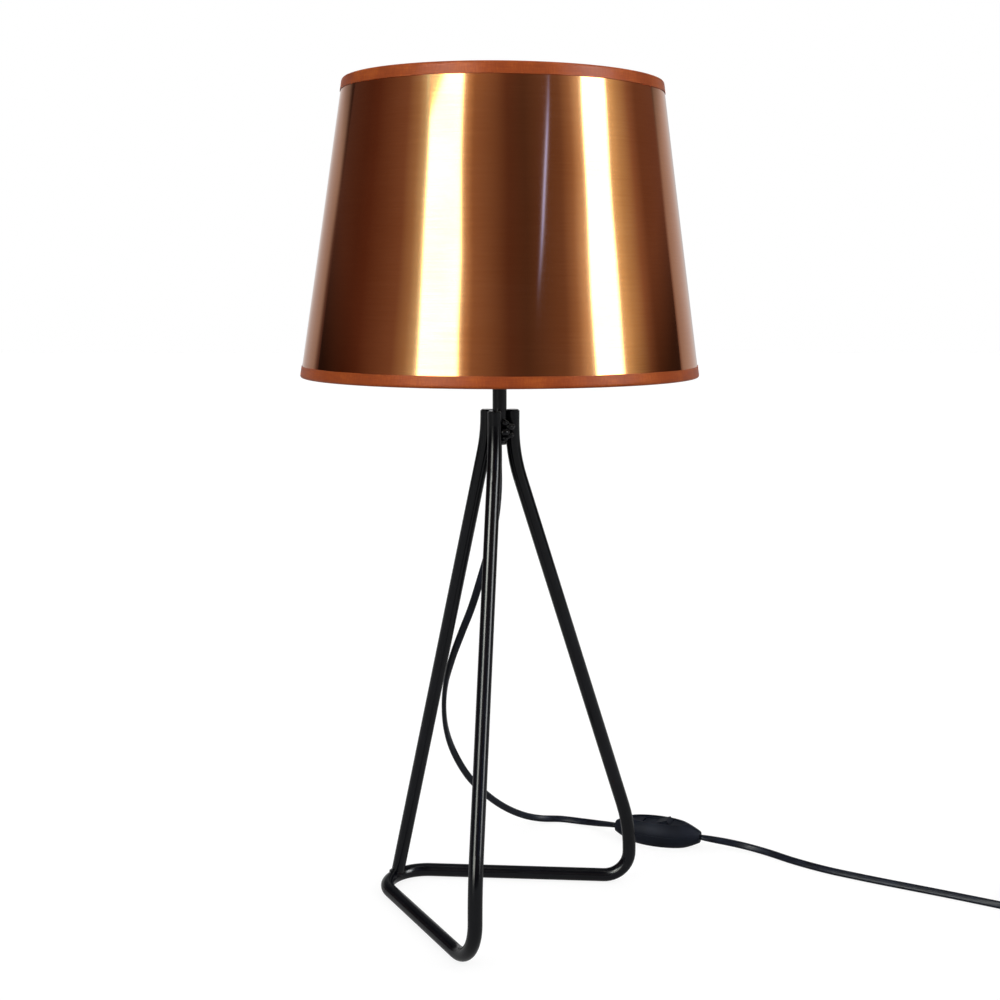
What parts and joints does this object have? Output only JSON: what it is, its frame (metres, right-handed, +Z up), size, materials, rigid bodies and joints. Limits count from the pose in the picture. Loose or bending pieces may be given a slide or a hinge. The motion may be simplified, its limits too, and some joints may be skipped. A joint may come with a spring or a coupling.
{
  "type": "metal table lamp",
  "caption": "Table lamp with a welded tripod of bent black rod, a tapered copper film shade, and a flat cord with in-line rocker switch and two-pin plug.",
  "frame": {"origin": "on the surface that the lamp stands on, under the axis of the stem", "axes": "+Z up along the stem, +Y towards the back, +X to the right, where the cord leaves"},
  "size_m": [0.638, 0.3285, 0.6055],
  "materials": {
    "powder_coat": "satin black powder coat over bent steel rod",
    "holder_plastic": "moulded black thermoset",
    "core_ceramic": "ivory steatite",
    "contact_brass": "stamped brass",
    "white_wire": "white epoxy-coated steel wire",
    "copper_film": "copper metallised film laminated on PVC sheet, mirror-like with faint brushed lines",
    "brown_ribbon": "woven orange-brown edging ribbon",
    "lamp_cap_metal": "rolled aluminium",
    "black_glass": "black vitrite",
    "opal_glass": "opal white",
    "switch_plastic": "satin black moulded ABS",
    "inner_plastic": "natural polyamide",
    "screw_steel": "zinc-plated steel",
    "cord_pvc": "black PVC sheath, satin",
    "plug_plastic": "black moulded PVC",
    "pin_metal": "nickel-plated brass"
  },
  "bodies": {
    "stand": {"base_frame": "powder_coat", "left_leg": "powder_coat", "foot_weld": "powder_coat", "stem_tube": "powder_coat", "stem_welds": "powder_coat", "stem_bush": "holder_plastic", "holder_cap": "holder_plastic", "holder_skirt": "holder_plastic", "shade_ring": "holder_plastic", "holder_core": "core_ceramic", "centre_contact": "contact_brass", "side_contact": "contact_brass", "terminal_screws": "contact_brass", "fixed_contact": "contact_brass", "pivot_contact": "contact_brass", "shade_carrier": "white_wire", "top_wire": "white_wire", "shade_panel": "copper_film", "top_trim": "brown_ribbon", "bottom_trim": "brown_ribbon", "switch_lower": "switch_plastic", "switch_upper": "switch_plastic", "cord_clamps": "inner_plastic", "switch_terminal_screws": "screw_steel", "clamp_screws": "screw_steel", "switch_screws": "screw_steel", "stem_lead": "cord_pvc", "switch_leads": "cord_pvc", "cord_upper": "cord_pvc", "cord_lower": "cord_pvc", "cord_coil": "cord_pvc", "cord_tail": "cord_pvc", "coil_tie": "cord_pvc", "plug_body": "plug_plastic", "plug_pin_sleeves": "plug_plastic", "plug_pins": "pin_metal"},
    "rocker": {"rocker": "switch_plastic", "rocker_plunger": "inner_plastic"},
    "tilting_contact": {"moving_contact": "contact_brass"},
    "bulb_carriage": {"bulb_contact": "lamp_cap_metal"},
    "bulb": {"bulb_globe": "opal_glass", "bulb_cap": "lamp_cap_metal", "bulb_insulator": "black_glass"}
  },
  "joints": [
    {"name": "rocker_tilt", "type": "hinge", "parent": "stand", "child": "rocker", "pos_m": [0.133, 0.1343, 0.0144], "axis": [0.3875, 0.9219, 0], "range_deg": [0, 24]},
    {"name": "contact_tilt", "type": "hinge", "parent": "stand", "child": "tilting_contact", "pos_m": [0.133, 0.1343, 0.0068], "axis": [0.3875, 0.9219, 0], "range_deg": [-14.4, 0]},
    {"name": "bulb_lift", "type": "slide", "parent": "stand", "child": "bulb_carriage", "axis": [0, 0, 1], "range_m": [0, 0.011]},
    {"name": "bulb_turn", "type": "hinge", "parent": "bulb_carriage", "child": "bulb", "pos_m": [0, 0, 0.45], "axis": [0, 0, 1], "range_deg": [0, 1080]}
  ],
  "couplings": [
    {"joint": "contact_tilt", "follows": "rocker_tilt", "ratio": -0.6},
    {"joint": "bulb_lift", "follows": "bulb_turn", "m_per_rad": 0.0005776}
  ]
}
